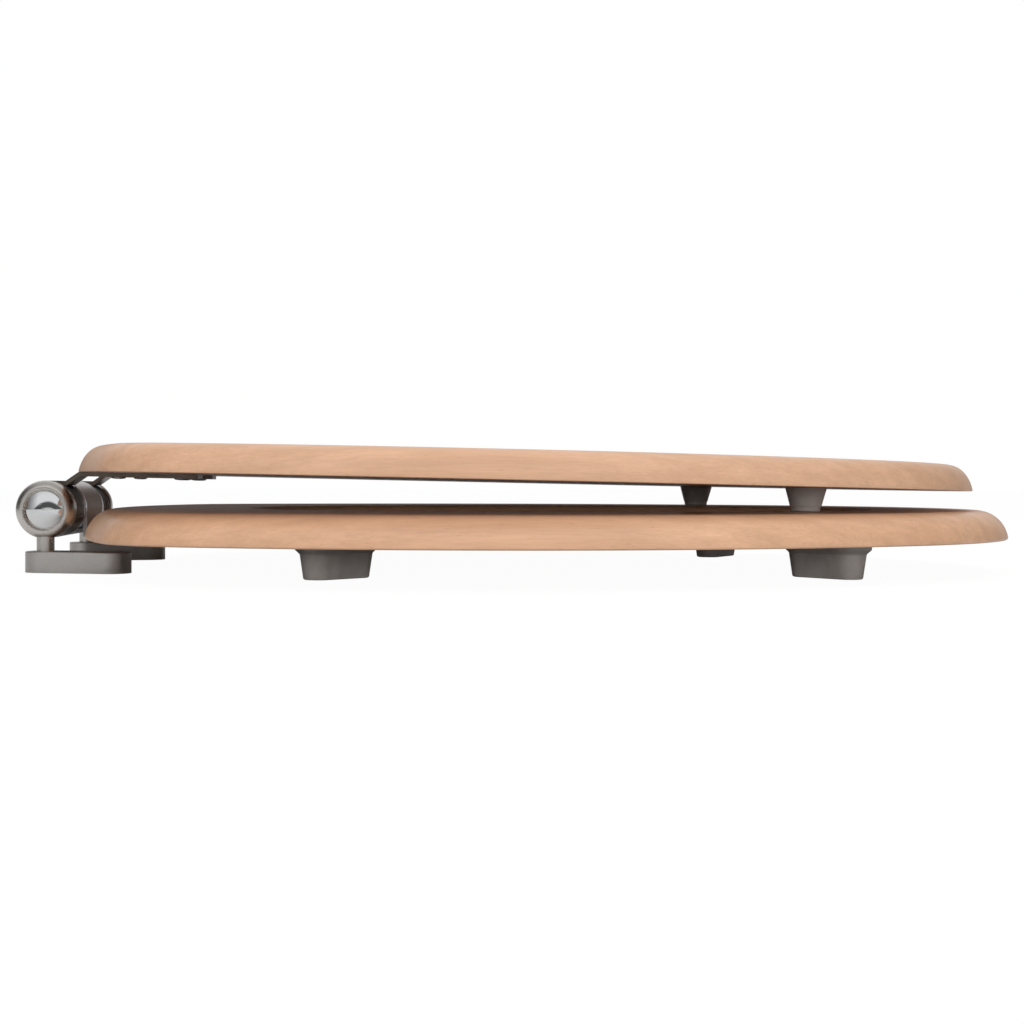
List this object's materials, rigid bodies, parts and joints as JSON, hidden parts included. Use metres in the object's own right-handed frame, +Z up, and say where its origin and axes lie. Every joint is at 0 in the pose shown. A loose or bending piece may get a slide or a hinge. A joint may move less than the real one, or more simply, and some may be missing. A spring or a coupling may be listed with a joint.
{
  "type": "toilet seat",
  "caption": "Wooden toilet seat: an oval ring with a lid on a straight bar hinge, whose base plates swivel to set the distance between the fixing holes.",
  "frame": {"origin": "on the fixing plane, midway between the two fixing holes of the base plates", "axes": "+X to the front of the seat, +Y to the left as seen by someone sitting on it, +Z up"},
  "size_m": [0.4667, 0.372, 0.0573],
  "materials": {
    "lid_wood": "satin clear lacquer over a fine pale beech-like grain that runs front to back",
    "ring_wood": "satin clear lacquer over a fine pale beech-like grain that runs front to back",
    "leaf_steel": "satin nickel plate on rolled steel strip, slightly dark",
    "rod_steel": "bright drawn steel",
    "satin_nickel": "satin nickel plate with a soft brushed sheen",
    "plate_nickel": "satin nickel plate, fine matte grain",
    "polished_chrome": "polished chrome plate",
    "bush_nylon": "matte grey nylon",
    "screw_steel": "zinc-plated steel",
    "grey_rubber": "matte dark warm grey moulded rubber"
  },
  "bodies": {
    "hinge_base": {"hinge_rod": "rod_steel", "pillar_right": "satin_nickel", "pillar_left": "satin_nickel", "end_button_right": "polished_chrome", "end_button_left": "polished_chrome", "spacer_ring_right": "polished_chrome", "spacer_ring_left": "polished_chrome", "thin_washer_right": "rod_steel", "thin_washer_left": "rod_steel", "grub_screws": "screw_steel", "pivot_screw_right": "screw_steel", "pivot_screw_left": "screw_steel", "spring_washer_right": "rod_steel", "spring_washer_left": "rod_steel"},
    "plate_right": {"base_plate_right": "plate_nickel"},
    "plate_left": {"base_plate_left": "plate_nickel"},
    "ring": {"seat_ring": "ring_wood", "seat_bracket": "leaf_steel", "seat_bush_right": "bush_nylon", "seat_bush_left": "bush_nylon", "bracket_screws": "screw_steel", "foot_rear_right": "grey_rubber", "foot_rear_left": "grey_rubber", "foot_front_right": "grey_rubber", "foot_front_left": "grey_rubber", "foot_screws": "screw_steel"},
    "lid": {"lid_board": "lid_wood", "lid_strap_right": "leaf_steel", "lid_strap_left": "leaf_steel", "lid_bush_right": "bush_nylon", "lid_bush_left": "bush_nylon", "strap_screws": "screw_steel", "lid_buffer_right": "grey_rubber", "lid_buffer_left": "grey_rubber", "buffer_screws": "screw_steel"}
  },
  "joints": [
    {"name": "ring_hinge", "type": "hinge", "parent": "hinge_base", "child": "ring", "pos_m": [-0.03098, 0, 0.0284], "axis": [0, -1, 0], "range_deg": [0, 95]},
    {"name": "lid_hinge", "type": "hinge", "parent": "ring", "child": "lid", "pos_m": [-0.03098, 0, 0.0284], "axis": [0, -1, 0], "range_deg": [0, 95]},
    {"name": "plate_swivel_right", "type": "hinge", "parent": "hinge_base", "child": "plate_right", "pos_m": [-0.03098, -0.0545, 0], "axis": [0, 0, -1], "range_deg": [-35, 75]},
    {"name": "plate_swivel_left", "type": "hinge", "parent": "hinge_base", "child": "plate_left", "pos_m": [-0.03098, 0.0545, 0], "axis": [0, 0, 1], "range_deg": [-35, 75]}
  ]
}
